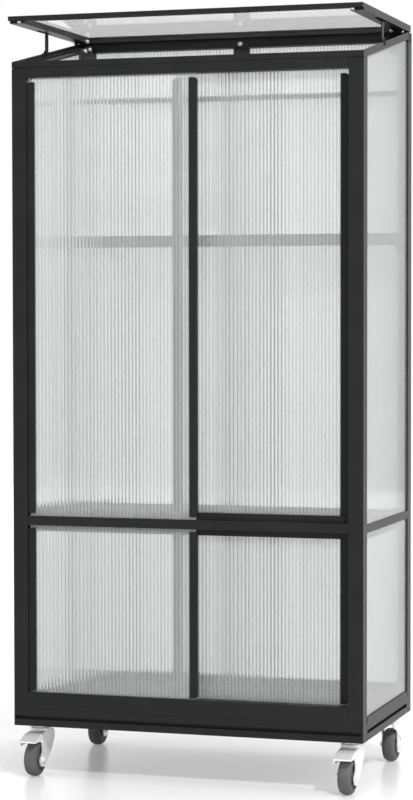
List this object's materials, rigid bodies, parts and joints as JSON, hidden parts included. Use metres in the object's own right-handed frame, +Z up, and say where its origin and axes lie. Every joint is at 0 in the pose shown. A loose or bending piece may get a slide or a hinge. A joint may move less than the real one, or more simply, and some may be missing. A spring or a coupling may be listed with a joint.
{
  "type": "mini greenhouse",
  "caption": "Upright mini greenhouse on swivel casters: dark frame, ribbed translucent sheets, sliding doors at two levels, hinged sloping lid and inner shelves.",
  "frame": {"origin": "on the floor under the centre of the footprint", "axes": "+Z up, +X to the right seen from the front, -Y towards the doors"},
  "size_m": [0.5828, 0.3572, 1.2227],
  "materials": {
    "frame_aluminium": "matt black anodised extrusion",
    "trim_plastic": "matt black",
    "clear_sheet": "translucent ribbed twin-wall sheet",
    "deck_metal": "matt black coated sheet",
    "zinc_steel": "bright zinc plate",
    "wheel_rubber": "dark grey rubber"
  },
  "bodies": {
    "frame": {"base_front": "frame_aluminium", "base_rear": "frame_aluminium", "base_left": "frame_aluminium", "base_right": "frame_aluminium", "post_front_left": "frame_aluminium", "post_front_right": "frame_aluminium", "post_rear_left": "frame_aluminium", "post_rear_right": "frame_aluminium", "front_bottom_rail": "frame_aluminium", "front_mid_rail": "frame_aluminium", "front_top_rail": "frame_aluminium", "rear_mid_rail": "frame_aluminium", "rear_top_rail": "frame_aluminium", "rear_cross_bar": "frame_aluminium", "rear_mullion": "frame_aluminium", "side_mid_rail_left": "frame_aluminium", "side_mid_rail_right": "frame_aluminium", "side_top_rail_left": "frame_aluminium", "side_top_rail_right": "frame_aluminium", "side_sheet_lower_left": "clear_sheet", "side_sheet_lower_right": "clear_sheet", "side_sheet_upper_left": "clear_sheet", "side_sheet_upper_right": "clear_sheet", "rear_sheet_lower": "clear_sheet", "rear_sheet_upper": "clear_sheet", "floor_deck": "deck_metal", "mid_shelf": "deck_metal", "upper_shelf": "deck_metal", "stay_clip_left": "trim_plastic", "stay_clip_right": "trim_plastic", "caster_plate_front_left": "zinc_steel", "caster_plate_front_right": "zinc_steel", "caster_plate_rear_left": "zinc_steel", "caster_plate_rear_right": "zinc_steel"},
    "door_upper_left": {"door_upper_left_outer_strip": "trim_plastic", "door_upper_left_inner_strip": "trim_plastic", "door_upper_left_sheet": "clear_sheet"},
    "door_upper_right": {"door_upper_right_outer_strip": "trim_plastic", "door_upper_right_inner_strip": "trim_plastic", "door_upper_right_sheet": "clear_sheet"},
    "door_lower_left": {"door_lower_left_outer_strip": "trim_plastic", "door_lower_left_inner_strip": "trim_plastic", "door_lower_left_sheet": "clear_sheet"},
    "door_lower_right": {"door_lower_right_outer_strip": "trim_plastic", "door_lower_right_inner_strip": "trim_plastic", "door_lower_right_sheet": "clear_sheet"},
    "lid": {"lid_frame": "frame_aluminium", "lid_sheet": "clear_sheet"},
    "stay_left": {"stay_left": "frame_aluminium"},
    "stay_right": {"stay_right": "frame_aluminium"},
    "caster_front_left": {"caster_fork_front_left": "zinc_steel"},
    "wheel_front_left": {"caster_wheel_front_left": "wheel_rubber"},
    "brake_front_left": {"brake_pedal_front_left": "zinc_steel"},
    "caster_front_right": {"caster_fork_front_right": "zinc_steel"},
    "wheel_front_right": {"caster_wheel_front_right": "wheel_rubber"},
    "brake_front_right": {"brake_pedal_front_right": "zinc_steel"},
    "caster_rear_left": {"caster_fork_rear_left": "zinc_steel"},
    "wheel_rear_left": {"caster_wheel_rear_left": "wheel_rubber"},
    "caster_rear_right": {"caster_fork_rear_right": "zinc_steel"},
    "wheel_rear_right": {"caster_wheel_rear_right": "wheel_rubber"}
  },
  "joints": [
    {"name": "door_upper_left_slide", "type": "slide", "parent": "frame", "child": "door_upper_left", "axis": [1, 0, 0], "range_m": [0, 0.246]},
    {"name": "door_upper_right_slide", "type": "slide", "parent": "frame", "child": "door_upper_right", "axis": [-1, 0, 0], "range_m": [-0.0041, 0.2413]},
    {"name": "door_lower_left_slide", "type": "slide", "parent": "frame", "child": "door_lower_left", "axis": [1, 0, 0], "range_m": [0, 0.246]},
    {"name": "door_lower_right_slide", "type": "slide", "parent": "frame", "child": "door_lower_right", "axis": [-1, 0, 0], "range_m": [-0.0041, 0.2413]},
    {"name": "lid_hinge", "type": "hinge", "parent": "frame", "child": "lid", "pos_m": [0, 0.14145, 1.2088], "axis": [1, 0, 0], "range_deg": [0, 11.1]},
    {"name": "stay_left_hinge", "type": "hinge", "parent": "frame", "child": "stay_left", "pos_m": [-0.2852, -0.01985, 1.18117], "axis": [1, 0, 0], "range_deg": [0, 101.2]},
    {"name": "stay_right_hinge", "type": "hinge", "parent": "frame", "child": "stay_right", "pos_m": [0.2852, -0.01985, 1.18117], "axis": [1, 0, 0], "range_deg": [0, 101.2]},
    {"name": "caster_front_left_swivel", "type": "hinge", "parent": "frame", "child": "caster_front_left", "pos_m": [-0.261, -0.11955, 0.073], "axis": [0, 0, 1], "continuous": true},
    {"name": "wheel_front_left_axle", "type": "hinge", "parent": "caster_front_left", "child": "wheel_front_left", "pos_m": [-0.261, -0.14515, 0.0275], "axis": [1, 0, 0], "continuous": true},
    {"name": "brake_front_left_hinge", "type": "hinge", "parent": "caster_front_left", "child": "brake_front_left", "pos_m": [-0.261, -0.13405, 0.05925], "axis": [1, 0, 0], "range_deg": [0, 10]},
    {"name": "caster_front_right_swivel", "type": "hinge", "parent": "frame", "child": "caster_front_right", "pos_m": [0.261, -0.11955, 0.073], "axis": [0, 0, 1], "continuous": true},
    {"name": "wheel_front_right_axle", "type": "hinge", "parent": "caster_front_right", "child": "wheel_front_right", "pos_m": [0.261, -0.14515, 0.0275], "axis": [1, 0, 0], "continuous": true},
    {"name": "brake_front_right_hinge", "type": "hinge", "parent": "caster_front_right", "child": "brake_front_right", "pos_m": [0.261, -0.13405, 0.05925], "axis": [1, 0, 0], "range_deg": [0, 10]},
    {"name": "caster_rear_left_swivel", "type": "hinge", "parent": "frame", "child": "caster_rear_left", "pos_m": [-0.261, 0.12545, 0.073], "axis": [0, 0, 1], "continuous": true},
    {"name": "wheel_rear_left_axle", "type": "hinge", "parent": "caster_rear_left", "child": "wheel_rear_left", "pos_m": [-0.261, 0.15105, 0.0275], "axis": [1, 0, 0], "continuous": true},
    {"name": "caster_rear_right_swivel", "type": "hinge", "parent": "frame", "child": "caster_rear_right", "pos_m": [0.261, 0.12545, 0.073], "axis": [0, 0, 1], "continuous": true},
    {"name": "wheel_rear_right_axle", "type": "hinge", "parent": "caster_rear_right", "child": "wheel_rear_right", "pos_m": [0.261, 0.15105, 0.0275], "axis": [1, 0, 0], "continuous": true}
  ],
  "couplings": [
    {"joint": "stay_left_hinge", "follows": "lid_hinge", "ratio": 9.1},
    {"joint": "stay_right_hinge", "follows": "lid_hinge", "ratio": 9.1}
  ]
}
